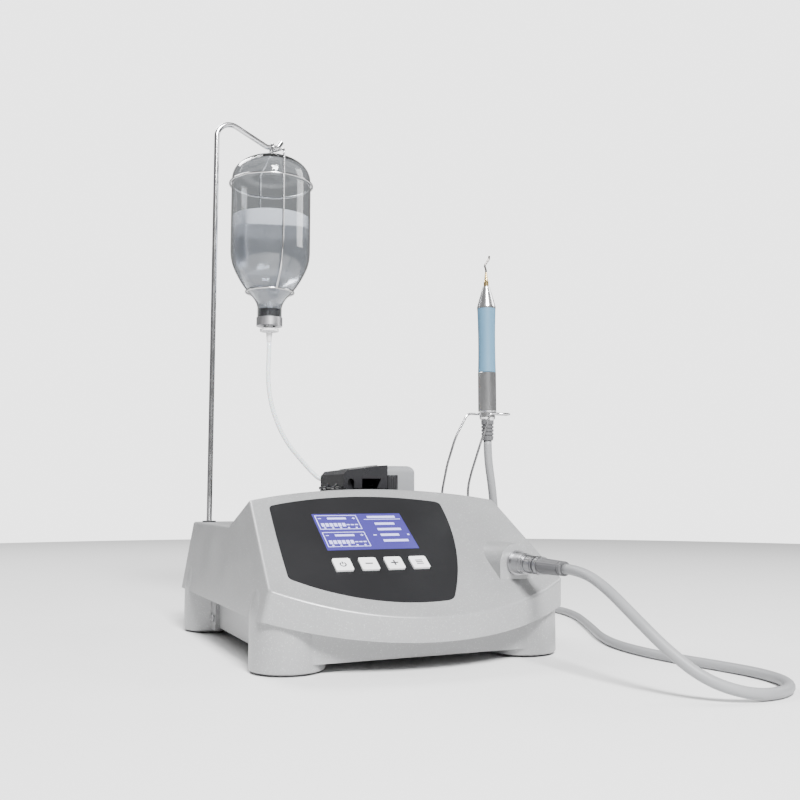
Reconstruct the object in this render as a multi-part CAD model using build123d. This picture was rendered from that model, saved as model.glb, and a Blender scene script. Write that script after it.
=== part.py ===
from build123d import *
import math
import os

# Desktop ultrasonic surgery and scaling unit with an irrigation pump, a bottle pole and a corded handpiece.
# Millimetres. +Z up, +X to the user's right, the user sits at -Y. The origin is on the table, under the middle
# of the housing.

os.makedirs("parts", exist_ok=True)

# ---------------------------------------------------------------- driving dimensions: housing and tray
part_z = 35.5             # split line between housing and tray
deck_z = 94.15            # flat deck behind the hump
side_x = 117.0            # half width of the housing at the split line
side_lean = 0.167         # how far each side wall leans in per millimetre of height
rear_y = 144.6            # outside of the rear wall
wall = 3.0                # housing wall
face_tilt = 34.1          # slope of the operating face
face_low_y = -117.3       # a point on the operating face, at the front corners
face_low_z = 57.8
front_r = 214.8           # plan radius of the bowed front band at front_r_z
front_cy = 67.0           # centre of that radius
front_r_z = 37.2
front_lean = 0.155        # how far the band leans out per millimetre of height
smile_slope = 0.483       # slope of the underside of the bowed front
smile_y = -114.5          # where that underside meets the split plane
ridge_mid_z = 124.3       # top of the hump at its middle
crown_r = 526.0           # crown of the ridge, seen from the front
hump_foot_y = 15.6        # where the hump's rear slope meets the deck
corner_r = 5.0            # front vertical corners
top_edge_r = 2.2          # softened top edges
foot_x = 92.3             # centres of the four foot columns
foot_front_y = -93.7
foot_rear_y = 121.3
foot_r = 26.1
foot_z = 1.5              # underside of the plastic columns
ogive_r = 45.8            # arc of the domed column tops
tray_x = 97.5             # half width of the tray between the columns
tray_front_y = -118.0
tray_rear_y = 139.0
tray_z = 7.0              # underside of the tray floor
tray_wall = 2.5
tray_floor = 3.0
pad_r = 17.0              # rubber foot pads
pad_sink = 1.5            # how deep the pads sit in the columns
screw_inset = 8.0         # housing screws stand this far inboard of the column centres
screw_r = 2.0
screw_head_r = 3.8
screw_gap = 0.3
lid_gap = 0.15            # clearance round fixed inserts

# ---------------------------------------------------------------- operating face
panel_t = 1.8
panel_sink = 1.6
panel_corner_r = 5.0
panel_low_corner_r = 10.0  # lower right corner, under the keys
lcd_u, lcd_v = -24.9, 60.5
lcd_w, lcd_h = 72.0, 44.4
key_size = 13.2
key_gap = 0.2
key_v = 21.1
key_u0 = -54.8
key_pitch = 19.6
key_travel = 0.8
key_rise = 1.2            # key top above the panel
key_names = ["key_power", "key_minus", "key_plus", "key_mode"]
board_t = 1.6
lcd_box_w, lcd_box_h, lcd_box_t = 82.0, 55.0, 8.0
dome_size = 6.0
dome_h = 3.5
plunger_r = 1.5
plunger_h = 0.8

# ---------------------------------------------------------------- handpiece socket, plug and hose
sock_x, sock_z = 75.1, 69.0
boss_r = 14.3
boss_y = -118.1           # front face of the boss
boss_front = 4.6          # thickness of the boss's front wall
sock_thread_r = 7.0
sock_flange_r = 9.0
sock_flange_t = 2.2
sock_tube_r = 7.7
sock_tube_len = 12.0
plug_insert_r = 5.4
plug_insert_gap = 0.1
nut_r = 9.6
nut_t = 3.0
plug_step = 3.0           # shoulder behind the socket tube
plug_neck_r = 4.6
collar_r = 6.4
collar_len = 12.4
collar_travel = 2.5
collar_fit = 0.05         # running clearance of the release collar on the neck
plug_end_t = 3.6
boot_len = 27.0
boot_r0, boot_r1 = 5.6, 5.0
boot_ring = 4.0           # plain ring at its end
hose_d = 7.0

# ---------------------------------------------------------------- handpiece and its wire rest
hp_x, hp_y = 108.6, -17.0
hp_z0 = 165.0             # lower end of the bend relief
hp_relief = 17.0
hp_tail_r = 6.7
hp_r = 7.8
hp_shoulder_z = 189.3
hp_grip_z = 223.7
hp_grip_top_z = 279.3
hp_grip_r = 8.0
hp_barrel_r = 6.3
hp_nose_top_z = 299.0
hp_nose_r = 2.9
hp_tip_r = 2.2
hp_lift = 30.0
rest_wire_r = 1.0
rest_z = 188.0

# ---------------------------------------------------------------- pole, bottle and cradle
pole_x, pole_y = -97.2, 127.4
pole_r = 2.4
pole_foot_z = 12.0
pole_top_z = 474.5
hook_x, hook_z = -43.9, 450.5
bottle_r = 37.5
bottle_wall = 1.5
bottle_top_z = 440.0
bottle_side_z = (350.0, 414.0)
neck_r = 11.4
neck_z = (279.5, 294.0)
saline_z = 380.0
cradle_wire_r = 1.0
cradle_fit = 0.4
ring_z = 413.0
low_ring_r, low_ring_z = 22.3, 309.0
eye_r = 5.0
eye_gap = 0.3
spike_end_z = 261.9
drip_tube_d = 4.0

# ---------------------------------------------------------------- irrigation pump
pump_x0, pump_x1 = -3.0, 37.0
pump_y0, pump_y1 = 35.0, 93.0
pump_rim_z = 123.5
pump_wall = 2.0
rotor_y, rotor_z = 64.0, 114.0
rotor_x = 4.5             # middle plane of rotor and tubing
rotor_plate_r = 15.5
rotor_plate_t = 1.5
rotor_w = 8.0
roller_r = 4.0
roller_pitch_r = 12.0
roller_count = 3
roller_len = 4.4
pin_r = 1.0
running_fit = 0.05
tube_gap = 0.3            # tubing to rollers and to the lid's track
shaft_r = 2.0
partition_x = 11.0
gearbox_r, gearbox_len = 14.0, 20.0
motor_r, motor_len = 12.0, 26.0
lid_low_z = 124.2
lid_z0, lid_z1 = 139.2, 144.4     # lid top at the hinge side and at the latch side
lid_edge = 0.5            # how far the lid overhangs the body
hinge_x, hinge_z = -5.3, 124.6
hinge_pin_r = 0.7
knuckle_r = 1.5
cover_x0, cover_x1 = 38.3, 64.5
cover_top_z = 144.0
latch_travel = 1.5
clip_t = 0.8

# ---------------------------------------------------------------- rear panel and electronics
rear_open = (-62.0, 62.0, 44.0, 84.0)
rear_plate_t = 2.0
inlet_x, rocker_x, jack_x = -38.0, 2.0, 38.0
rear_mid_z = 64.0
rocker_half = 7.0          # half length of the rocker's face
rocker_face = 5.6         # pivot to the middle of the face
rocker_w = 11.0
rocker_tilt = 8.0
jack_r = 6.0
jack_len = 10.0

C, MIN = Align.CENTER, Align.MIN
tilt = math.radians(face_tilt)
face_rise = math.tan(tilt)


def box(x0, x1, y0, y1, z0, z1):
    return Pos((x0 + x1) / 2, (y0 + y1) / 2, (z0 + z1) / 2) * Box(x1 - x0, y1 - y0, z1 - z0)


def rod_z(x, y, r, z0, z1):
    return Pos(x, y, z0) * Cylinder(r, z1 - z0, align=(C, C, MIN))


def rod_y(x, z, r, y0, y1):
    """A cylinder along Y from y0 up to y1."""
    return Pos(x, y0, z) * Rot(-90, 0, 0) * Cylinder(r, y1 - y0, align=(C, C, MIN))


def rod_x(y, z, r, x0, x1):
    """A cylinder along X from x0 up to x1."""
    return Pos(x0, y, z) * Rot(0, 90, 0) * Cylinder(r, x1 - x0, align=(C, C, MIN))


def yz_prism(points, x0, x1):
    """A polygon of (y, z) points, extruded along X."""
    face = Plane.YZ * make_face(Polyline(*points, close=True))
    return Pos(x0, 0, 0) * extrude(face, amount=x1 - x0)


def turned(points, x=0, y=0):
    """A turned piece about the vertical: its (radius, z) outline closes on the axis."""
    face = Plane.XZ * make_face(Polyline(*points, close=True))
    return Pos(x, y, 0) * revolve(face, Axis.Z)


def turned_y(points, x, z):
    """A turned piece about an axis along Y: its outline is (radius, y)."""
    face = Plane.XY * make_face(Polyline(*points, close=True))
    return Pos(x, 0, z) * revolve(face, Axis.Y)


def natural_radii(points, smallest=0.0):
    """The largest arc for each corner: 0.45 of the shorter run, over the tangent of half the turn."""
    radii = []
    for a, b, c in zip(points, points[1:], points[2:]):
        before = Vector(*b) - Vector(*a)
        after = Vector(*c) - Vector(*b)
        turn = math.radians(before.get_angle(after))
        radii.append(max(smallest, 0.45 * min(before.length, after.length) / math.tan(turn / 2)))
    return radii


def bent(points, r, radii=None):
    """A round rod or tube swept along straight runs joined by tangent arcs."""
    path = FilletPolyline(*points, radius=radii or natural_radii(points))
    start = Plane(origin=path @ 0, z_dir=path % 0)
    return sweep(start * Circle(r), path=path), path.length


def keep(name, shape):
    """Write one node, however many solids it holds."""
    shape.label = name
    export_step(shape, f"parts/{name}.step")
    return shape


# ================================================================ housing
def face_z(y):
    return face_low_z + (y - face_low_y) * face_rise


def smile_z(y):
    return part_z + (y - smile_y) * smile_slope


def ridge(x):
    """A point (y, z) of the ridge line, where the crowned hump meets the operating face."""
    z = ridge_mid_z - x * x / (2 * crown_r)
    return face_low_y + (z - face_low_z) / face_rise, z


def column_form(x, y, inset=0.0):
    """A foot column's domed top, from the split line up."""
    r = foot_r - inset
    big = ogive_r - inset
    tip = math.sqrt(big ** 2 - (big - r) ** 2)
    mid = math.asin(tip / big) / 2
    arc = ThreePointArc((r, 0), (r - big + big * math.cos(mid), big * math.sin(mid)), (0, tip))
    outline = arc + Polyline((0, tip), (0, 0), (r, 0))
    face = Plane.XZ * make_face(outline)
    return Pos(x, y, part_z) * revolve(face, Axis.Z)


def plan_form(inset):
    """Side walls, rear wall and bowed front, with the foot domes, before the top is cut."""
    def outline(z):
        half = side_x - (z - part_z) * side_lean - inset
        back = rear_y - inset
        front = -170.0
        return Plane.XY.offset(z) * Pos(0, (back + front) / 2) * Rectangle(2 * half, back - front)

    low, high = 0.0, 135.0
    block = loft([outline(low), outline(high)], ruled=True)
    r0 = front_r - (front_r_z - low) * front_lean - inset
    r1 = front_r + (high - front_r_z) * front_lean - inset
    bow = Pos(0, front_cy, low) * Cone(r0, r1, high - low, align=(C, C, MIN))
    body = block & bow
    corners = [e for e in body.edges() if e.center().Y < -60 and abs(e.center().X) > 90
               and abs(e.bounding_box().size.Z) > 100]
    body = fillet(corners, max(corner_r - inset, 0.8))
    for x in (-foot_x, foot_x):
        for y in (foot_front_y, foot_rear_y):
            body += column_form(x, y, inset)
    return body


def top_form(inset):
    """Everything under the operating face, the crowned hump and the deck, and above the split line."""
    drop = inset / math.cos(tilt)
    far = -175.0
    meet_y = face_low_y + (deck_z - inset - (face_low_z - drop)) / face_rise
    deck = yz_prism([
        (far, smile_z(far) + inset), (smile_y, part_z + inset), (200, part_z + inset),
        (200, deck_z - inset), (meet_y, deck_z - inset), (far, face_z(far) - drop),
    ], -140, 140)
    sections = []
    for x in (-140, 0, 140):
        ry, rz = ridge(x)
        rz -= inset
        slope = (rz - (deck_z - inset)) / (hump_foot_y - inset - ry)
        reach = 25.0
        outline = [
            (hump_foot_y - inset, deck_z - inset), (ry - reach, rz + reach * slope),
            (ry - 3 * reach, 70), (hump_foot_y - inset, 70),
        ]
        plane = Plane(origin=(x, 0, 0), x_dir=(0, 1, 0), z_dir=(1, 0, 0))
        sections.append(plane * make_face(Polyline(*outline, close=True)))
    hump = loft(sections)
    under_face = yz_prism([(far, face_z(far) - drop), (90, face_z(90) - drop), (90, 0), (far, 0)], -140, 140)
    return deck + (hump & under_face)


def housing_form(inset):
    return plan_form(inset) & top_form(inset)


face_plane = Plane(origin=(0, face_low_y, face_low_z), x_dir=(1, 0, 0),
                   z_dir=(0, -math.sin(tilt), math.cos(tilt)))


def on_face(u, v, n):
    """Where the face coordinates u (across), v (up the slope) and n (out of the face) are."""
    return face_plane * Pos(u, v, n)


def face_block(u, v, w, h, n0, n1):
    return on_face(u, v, (n0 + n1) / 2) * Box(w, h, n1 - n0)


def disc_through(a, b, c, grow):
    """The disc whose rim runs through three points, grown by a little."""
    (ax, ay), (bx, by), (cx, cy) = a, b, c
    d = 2 * (ax * (by - cy) + bx * (cy - ay) + cx * (ay - by))
    aa, bb, cc = ax * ax + ay * ay, bx * bx + by * by, cx * cx + cy * cy
    ux = (aa * (by - cy) + bb * (cy - ay) + cc * (ay - by)) / d
    uy = (aa * (cx - bx) + bb * (ax - cx) + cc * (bx - ax)) / d
    return Pos(ux, uy) * Circle(math.hypot(ax - ux, ay - uy) + grow)


def panel_outline(grow=0.0):
    """The dark panel's outline on the face: where four large discs overlap, with rounded corners."""
    high_left, high_right, low_right, low_left = (-90.7, 93.7), (51.9, 97.7), (14.8, -19.5), (-96.9, 9.5)
    outline = disc_through(high_left, (-12.0, 105.6), high_right, grow)
    outline &= disc_through(high_right, (44.6, 50.0), low_right, grow)
    outline &= disc_through(low_right, (-38.0, -17.4), low_left, grow)
    outline &= disc_through(low_left, (-94.3, 52.0), high_left, grow)
    corners = outline.vertices().sort_by(Axis.Y)
    outline = fillet(corners[1:], panel_corner_r + grow)
    return fillet(outline.vertices().sort_by(Axis.Y)[0], panel_low_corner_r + grow)


def key_u(i):
    return key_u0 + i * key_pitch


def housing():
    body = housing_form(0)
    ridge_edges = [e for e in body.edges() if e.center().Z > 116 and e.bounding_box().size.X > 120]
    body = fillet(ridge_edges, 5.0)
    rim = [e for e in body.edges() if abs(e.center().X) > 95 and e.center().Z > part_z + 30
           and e.center().Y > -100 and e.bounding_box().size.Y > 30 and e.bounding_box().size.Z < 80]
    body = fillet(rim, top_edge_r)
    boss = box(sock_x - boss_r, sock_x + boss_r, boss_y, -72, 42, sock_z)
    boss += rod_y(sock_x, sock_z, boss_r, boss_y, -72)
    body += boss
    body -= housing_form(wall)
    body -= box(-foot_x, foot_x, tray_front_y + tray_wall, tray_rear_y - tray_wall, part_z - 5, part_z + wall + 1)
    for x in (-foot_x + screw_inset, foot_x - screw_inset):
        for y in (foot_front_y, foot_rear_y - screw_inset):
            body += rod_z(x, y, 5.0, part_z, part_z + 16) + box(
                min(x, x * 1.16), max(x, x * 1.16), y - 1.5, y + 1.5, part_z, part_z + 12)
            body -= rod_z(x, y, screw_r, part_z - 1, part_z + 14)
    # operating face
    pocket = face_plane * Pos(0, 0, -panel_sink) * panel_outline(lid_gap)
    body -= extrude(pocket, amount=10, dir=tuple(face_plane.z_dir))
    body -= face_block(lcd_u, lcd_v, lcd_w + 2, lcd_h + 2, -wall - 1, 1)
    for i in range(4):
        side = key_size + 2 * key_gap
        body -= face_block(key_u(i), key_v, side, side, -wall - 1, 1)
    for u in (key_board_u - 40, key_board_u + 40):
        body += on_face(u, key_v, -wall) * Pos(0, 0, -board_drop / 2) * Cylinder(2.5, board_drop)
    # handpiece socket
    body -= rod_y(sock_x, sock_z, boss_r - 2.8, boss_y + boss_front, -84)
    body -= rod_y(sock_x, sock_z, sock_thread_r + lid_gap, boss_y - 1, boss_y + boss_front + 1)
    # deck: pole hole, holes for the wire rest, pump tubing and pump motor leads
    body -= rod_z(pole_x, pole_y, grommet_r + lid_gap, deck_z - wall - 1, deck_z + 5)
    body -= rod_z(pole_x, pole_y, sleeve_r + 0.5, part_z - 1, part_z + wall + 1)
    for x, y in rest_feet:
        body -= rod_z(x, y, rest_wire_r + lid_gap, 80, 130)
    body -= rod_z(rotor_x, tube_front_y, 2.6, deck_z - wall - 1, deck_z + 1)
    body -= rod_z(50, 64, 5.0, deck_z - wall - 1, deck_z + 1)
    x0, x1, z0, z1 = rear_open
    body -= box(x0, x1, rear_y - wall - 1, rear_y + 5, z0, z1)
    return body


board_drop = key_travel + 1.1 + 0.2 + plunger_h + dome_h     # housing wall to the key board
key_board_u = key_u0 + 1.5 * key_pitch
key_foot_n = -wall - 1.1                                     # underside of a key
tube_front_y = rotor_y - (roller_pitch_r + roller_r + tube_gap + drip_tube_d / 2)
grommet_r = 4.4
sleeve_r = pole_r + 2.2
rest_feet = [(68.6, -9.0), (84.8, -25.0)]


def tray():
    rim_y0, rim_y1 = tray_front_y, tray_rear_y
    body = box(-tray_x, tray_x, rim_y0, rim_y1, tray_z, part_z)
    centres = [(x, y) for x in (-foot_x, foot_x) for y in (foot_front_y, foot_rear_y)]
    for x, y in centres:
        column = rod_z(x, y, foot_r, foot_z, part_z)
        body += fillet(column.edges().group_by(Axis.Z)[0], 1.6)
    # flat on the left side that carries the two bracket screws
    body += box(-tray_x - 3.5, -tray_x + 1, 80, 100, 4.5, part_z - 1.5)
    inner = box(-tray_x + tray_wall, tray_x - tray_wall, rim_y0 + tray_wall, rim_y1 - tray_wall,
                tray_z + tray_floor, part_z + 5)
    for x, y in centres:
        inner += rod_z(x, y, foot_r - tray_wall, tray_z + tray_floor, part_z + 5)
    body -= inner
    for x, y in centres:
        body -= rod_z(x, y, pad_r + lid_gap, foot_z - 1, foot_z + pad_sink)
    for x, y in screw_places():
        body += rod_z(x, y, 6.0, tray_z, part_z)
        body -= rod_z(x, y, screw_r + screw_gap, foot_z, part_z + 1)
        body -= rod_z(x, y, screw_head_r + screw_gap, foot_z, screw_seat_z)
    far = -175.0
    body -= yz_prism([(far, smile_z(far)), (smile_y, part_z), (smile_y, part_z + 20), (far, part_z + 20)],
                     -140, 140)
    for x, y in board_posts:
        body += rod_z(x, y, 3.0, tray_z + tray_floor, board_z)
    for y, z in bracket_screws:
        body -= rod_x(y, z, 1.5 + lid_gap, -tray_x - 8, -tray_x + 5)
    return body


screw_seat_z = 12.0
board_z = 20.0
board_posts = [(x, y) for x in (-68.0, 28.0) for y in (-60.0, 30.0)]
bracket_screws = [(85.0, 14.5), (93.0, 14.5)]


def screw_places():
    return [(x, y) for x in (-foot_x + screw_inset, foot_x - screw_inset)
            for y in (foot_front_y, foot_rear_y - screw_inset)]


def foot_pads():
    pads = Part()
    for x in (-foot_x, foot_x):
        for y in (foot_front_y, foot_rear_y):
            pad = rod_z(x, y, pad_r, 0, foot_z + pad_sink)
            pads += fillet(pad.edges().group_by(Axis.Z)[0], 0.6)
    return pads


def housing_screws():
    screws = Part()
    for x, y in screw_places():
        head_z = screw_seat_z - 3.0
        screw = rod_z(x, y, screw_head_r, head_z, screw_seat_z) + rod_z(x, y, screw_r, screw_seat_z, part_z + 13)
        screws += screw - rod_z(x, y, 1.4, head_z - 1, head_z + 1.6)
    return screws


def make_shells():
    keep("top_housing", housing())
    keep("base_tray", tray())
    keep("rubber_feet", foot_pads())
    keep("housing_screws", housing_screws())


# ================================================================ operating face
def make_face_parts():
    flat = face_plane * Pos(0, 0, -panel_sink) * panel_outline()
    panel = extrude(flat, amount=panel_t, dir=tuple(face_plane.z_dir))
    panel -= face_block(lcd_u, lcd_v, lcd_w, lcd_h, -panel_sink - 1, 2)
    for i in range(4):
        side = key_size + 2 * key_gap
        panel -= face_block(key_u(i), key_v, side, side, -panel_sink - 1, 2)
    keep("front_panel", panel)
    top = panel_t - panel_sink
    keep("display_window", face_block(lcd_u, lcd_v, lcd_w - 0.2, lcd_h - 0.2, top - 1.2, top))
    module = face_block(lcd_u, lcd_v, lcd_box_w, lcd_box_h, -wall - lcd_box_t, -wall)
    module += face_block(lcd_u, lcd_v, lcd_w, lcd_h, -wall, top - 1.3)
    keep("display_module", module)
    for i, name in enumerate(key_names):
        cap = face_block(key_u(i), key_v, key_size, key_size, key_foot_n, top + key_rise)
        cap = fillet(cap.edges().filter_by(Axis(
            (0, 0, 0), tuple(face_plane.z_dir))), 1.6)
        flange = face_block(key_u(i), key_v, key_size + 2.2, key_size + 2.2, key_foot_n, -wall - 0.1)
        keep(name, cap + flange)
    n_board = -wall - board_drop
    board = face_block(key_board_u, key_v, 92, 22, n_board - board_t, n_board)
    board += face_block(key_board_u, key_v - 4, 30, 8, n_board - board_t - 4, n_board - board_t)
    keep("key_board", board)
    domes = Part()
    for i in range(4):
        dome = face_block(key_u(i), key_v, dome_size, dome_size, n_board, n_board + dome_h)
        dome += on_face(key_u(i), key_v, n_board + dome_h + plunger_h / 2) * Cylinder(plunger_r, plunger_h)
        domes += dome
    keep("key_switches", domes)


# ================================================================ handpiece socket and plug
def make_socket_and_plug():
    y0 = boss_y
    thread_end = y0 + boss_front + nut_t + 3
    socket = rod_y(sock_x, sock_z, sock_flange_r, y0 - sock_flange_t, y0)
    socket += rod_y(sock_x, sock_z, sock_thread_r, y0, thread_end)
    socket += rod_y(sock_x, sock_z, sock_tube_r, y0 - sock_tube_len, y0 - sock_flange_t)
    socket -= rod_y(sock_x, sock_z, plug_insert_r + plug_insert_gap, y0 - sock_tube_len, y0 - 1.0)
    keep("hose_receptacle", socket)
    nut = rod_y(sock_x, sock_z, nut_r, y0 + boss_front, y0 + boss_front + nut_t)
    hexagon = Plane.XZ * RegularPolygon(nut_r - 0.4, 6)
    nut &= Pos(sock_x, y0 + boss_front - 1, sock_z) * extrude(hexagon, amount=-10)
    nut -= rod_y(sock_x, sock_z, sock_thread_r, y0, y0 + 12)
    keep("receptacle_nut", nut)

    step_y = y0 - sock_tube_len              # the plug's shoulder meets the socket tube here
    neck_y = step_y - plug_step
    plug = rod_y(sock_x, sock_z, plug_insert_r, step_y, y0 - 1.4)
    plug += rod_y(sock_x, sock_z, sock_tube_r - 0.3, neck_y, step_y)
    plug += rod_y(sock_x, sock_z, plug_neck_r, plug_end_y, neck_y)
    plug += rod_y(sock_x, sock_z, collar_r + 0.2, plug_end_y, plug_end_y + plug_end_t)
    keep("plug_body", plug)
    collar = rod_y(sock_x, sock_z, collar_r, neck_y - 0.2 - collar_len, neck_y - 0.2)
    collar -= rod_y(sock_x, sock_z, plug_neck_r + collar_fit, neck_y - 30, neck_y + 1)
    for groove_y in (neck_y - 2.2, neck_y - 10.4):
        ring = rod_y(sock_x, sock_z, collar_r + 1, groove_y - 0.9, groove_y)
        collar -= ring - rod_y(sock_x, sock_z, collar_r - 0.7, groove_y - 2, groove_y + 2)
    keep("plug_collar", collar)
    boot = turned_y([(0, boot_end_y), (boot_r1, boot_end_y), (boot_r0, plug_end_y), (0, plug_end_y)],
                    sock_x, sock_z)
    ring = rod_y(sock_x, sock_z, boot_r0 + 1, boot_end_y + boot_ring - 1.2, boot_end_y + boot_ring)
    boot -= ring - rod_y(sock_x, sock_z, boot_r1 - 0.6, boot_end_y, boot_end_y + boot_ring + 1)
    keep("plug_boot", boot)


plug_end_y = boss_y - sock_tube_len - plug_step - 0.2 - collar_len - collar_travel - 0.3 - plug_end_t
boot_end_y = plug_end_y - boot_len


# ================================================================ handpiece and its wire rest
def make_handpiece():
    x, y = hp_x, hp_y
    tail_z = hp_z0 + hp_relief
    relief = turned([(0, hp_z0), (4.6, hp_z0), (5.2, hp_z0 + 3), (5.4, tail_z), (0, tail_z)], x, y)
    for i in range(4):
        z = hp_z0 + 3.4 + 3.0 * i
        relief -= rod_z(x, y, 8, z, z + 1.2) - rod_z(x, y, 4.4, z - 1, z + 2)
    keep("handpiece_relief", relief)
    barrel_top = hp_grip_top_z + 2.0
    shell = turned([
        (0, tail_z), (5.4, tail_z), (hp_tail_r - 0.3, tail_z + 1.2), (hp_tail_r, tail_z + 2.6),
        (hp_tail_r, hp_shoulder_z - 0.6), (hp_r - 0.4, hp_shoulder_z), (hp_r, hp_shoulder_z + 0.8),
        (hp_r, hp_grip_z - 0.5), (hp_r - 0.4, hp_grip_z), (hp_barrel_r, hp_grip_z), (hp_barrel_r, barrel_top),
        (0, barrel_top),
    ], x, y)
    shell -= rod_z(x, y, stack_r + 0.4, hp_shoulder_z, barrel_top + 1)
    keep("handpiece_shell", shell)
    outline = Polyline((hp_barrel_r + 0.05, hp_grip_z), (hp_r - 0.1, hp_grip_z))
    outline += ThreePointArc((hp_r - 0.1, hp_grip_z), (hp_r - 0.45, hp_grip_z + 20), (hp_grip_r, hp_grip_top_z))
    outline += Polyline((hp_grip_r, hp_grip_top_z), (hp_barrel_r + 0.05, hp_grip_top_z),
                        (hp_barrel_r + 0.05, hp_grip_z))
    grip = Pos(x, y, 0) * revolve(Plane.XZ * make_face(outline), Axis.Z)
    keep("grip_sleeve", grip)
    nose_line = Polyline((0, hp_grip_top_z), (hp_r + 0.3, hp_grip_top_z), (hp_r + 0.3, hp_grip_top_z + 1.5))
    nose_line += ThreePointArc((hp_r + 0.3, hp_grip_top_z + 1.5), (5.2, hp_grip_top_z + 12),
                               (hp_nose_r, hp_nose_top_z))
    nose_line += Polyline((hp_nose_r, hp_nose_top_z), (0, hp_nose_top_z), (0, hp_grip_top_z))
    nose = Pos(x, y, 0) * revolve(Plane.XZ * make_face(nose_line), Axis.Z)
    nose -= rod_z(x, y, hp_barrel_r + 0.05, hp_grip_top_z - 1, barrel_top)
    nose -= rod_z(x, y, horn_r + 0.3, barrel_top - 1, hp_nose_top_z + 1)
    nose -= rod_z(x, y, stack_r + 0.4, hp_grip_top_z, barrel_top + 4)
    keep("nose_cone", nose)
    stack = rod_z(x, y, stack_r, hp_shoulder_z, barrel_top - 6)
    stack += rod_z(x, y, horn_r, barrel_top - 6, hp_nose_top_z + 0.3)
    for i in range(4):
        z = hp_shoulder_z + 16 + 6 * i
        stack -= rod_z(x, y, stack_r + 1, z, z + 0.6) - rod_z(x, y, stack_r - 0.8, z - 1, z + 2)
    keep("ultrasonic_stack", stack)
    tip_z = hp_nose_top_z + 0.3
    tip = turned([(0, tip_z), (hp_tip_r, tip_z), (hp_tip_r, tip_z + 4), (1.7, tip_z + 5), (0.9, tip_z + 12.5),
                  (0, tip_z + 12.5)], x, y)
    tip_path = [(x, y, tip_z + 11), (x, y, tip_z + 14.5), (x - 1.4, y, tip_z + 18.5), (x + 3.0, y, tip_z + 24.5),
                (x + 3.4, y, tip_z + 27.5)]
    point, _ = bent(tip_path, 0.85, radii=[2.5, 2.0, 2.0])
    keep("working_tip", tip + point)


stack_r = 4.6
horn_r = 1.8


def make_rest():
    """One wire, bent up from the deck, round the handpiece, out into a finger loop and back down."""
    ring = hp_tail_r + 0.3 + rest_wire_r
    rear, front = hp_y + ring, hp_y - ring
    (rx, _), (fx, _) = rest_feet
    waist = 1.7
    path = [
        (rx, rear, 95), (rx, rear, 121), (rx + 5.0, rear, 143.5), (rx + 13.0, rear, 167),
        (rx + 25.0, rear, rest_z), (hp_x + 4.2, rear, rest_z), (hp_x + 8.9, hp_y + waist, rest_z),
        (hp_x + 14, hp_y + 3.6, rest_z), (hp_x + 20.6, hp_y + 3.6, rest_z),
        (hp_x + 20.6, hp_y - 3.6, rest_z), (hp_x + 14, hp_y - 3.6, rest_z), (hp_x + 8.9, hp_y - waist, rest_z),
        (hp_x + 4.2, front, rest_z), (fx + 22.6, front, rest_z), (fx + 11.7, front, 160),
        (fx + 3.4, front, 137), (fx, front, 125), (fx, front, 95),
    ]
    limits = [40, 60, 60, 6, 6, 2.5, 5, 2.6, 2.6, 5, 2.5, 3, 4, 60, 60, 40]
    radii = [min(most, r) for most, r in zip(limits, natural_radii(path))]
    wire, _ = bent(path, rest_wire_r, radii)
    keep("handpiece_rest", wire)


# ================================================================ bottle pole
def make_pole():
    path = [(pole_x, pole_y, pole_foot_z), (pole_x, pole_y, pole_top_z), (hook_x - 5, pole_y, hook_z),
            (hook_x + 5, pole_y, hook_z), (hook_x + 9.5, pole_y, hook_z + 7)]
    pole, _ = bent(path, pole_r, radii=[13.0, 5.5, 5.5])
    keep("bottle_pole", pole)
    grommet = rod_z(pole_x, pole_y, grommet_r, deck_z - wall, deck_z + 1.2)
    grommet += rod_z(pole_x, pole_y, grommet_r + 1.6, deck_z, deck_z + 1.2)
    grommet -= rod_z(pole_x, pole_y, pole_r + 0.02, deck_z - 10, deck_z + 10)
    keep("pole_grommet", grommet)
    sleeve = rod_z(pole_x, pole_y, sleeve_r, tray_z + tray_floor, 46)
    inner_x = -tray_x + tray_wall
    bracket = sleeve + box(inner_x, inner_x + 2, 80, pole_y - pole_r - 1, tray_z + tray_floor, 26)
    bracket -= rod_z(pole_x, pole_y, pole_r + 0.02, pole_foot_z, 60)
    for y, z in bracket_screws:
        bracket -= rod_x(y, z, 1.5, inner_x - 1, inner_x + 3)
    keep("pole_bracket", bracket)
    screws = Part()
    head_x = -tray_x - 3.5
    for y, z in bracket_screws:
        screw = rod_x(y, z, 2.8, head_x - 1.4, head_x) + rod_x(y, z, 1.5, head_x, inner_x + 2)
        screws += screw - rod_x(y, z, 1.0, head_x - 2, head_x - 0.6)
    keep("bracket_screws", screws)


# ================================================================ bottle and cradle
def bottle_outline(shrink=0.0):
    side0, side1 = bottle_side_z
    r = bottle_r - shrink
    neck = neck_r - shrink
    top = bottle_top_z - shrink
    shoulder = Spline([(neck, neck_z[1]), (21.0 - shrink, 309.6), (32.6 - shrink, 328.0), (r, side0)],
                      tangents=[(0.15, 1), (0, 1)])
    dome = Spline([(r, side1), (r - 5.2, side1 + 16.0), (r - 19.0, top - 1.4), (0, top)],
                  tangents=[(0, 1), (-1, 0)])
    low = Polyline((0, neck_z[0]), (neck, neck_z[0]), (neck, neck_z[1]))
    wall_line = Polyline((r, side0), (r, side1))
    axis_line = Polyline((0, top), (0, neck_z[0]))
    return Plane.XZ * make_face(low + shoulder + wall_line + dome + axis_line)


def bottle_form(shrink):
    return Pos(hook_x, pole_y, 0) * revolve(bottle_outline(shrink), Axis.Z)


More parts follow.
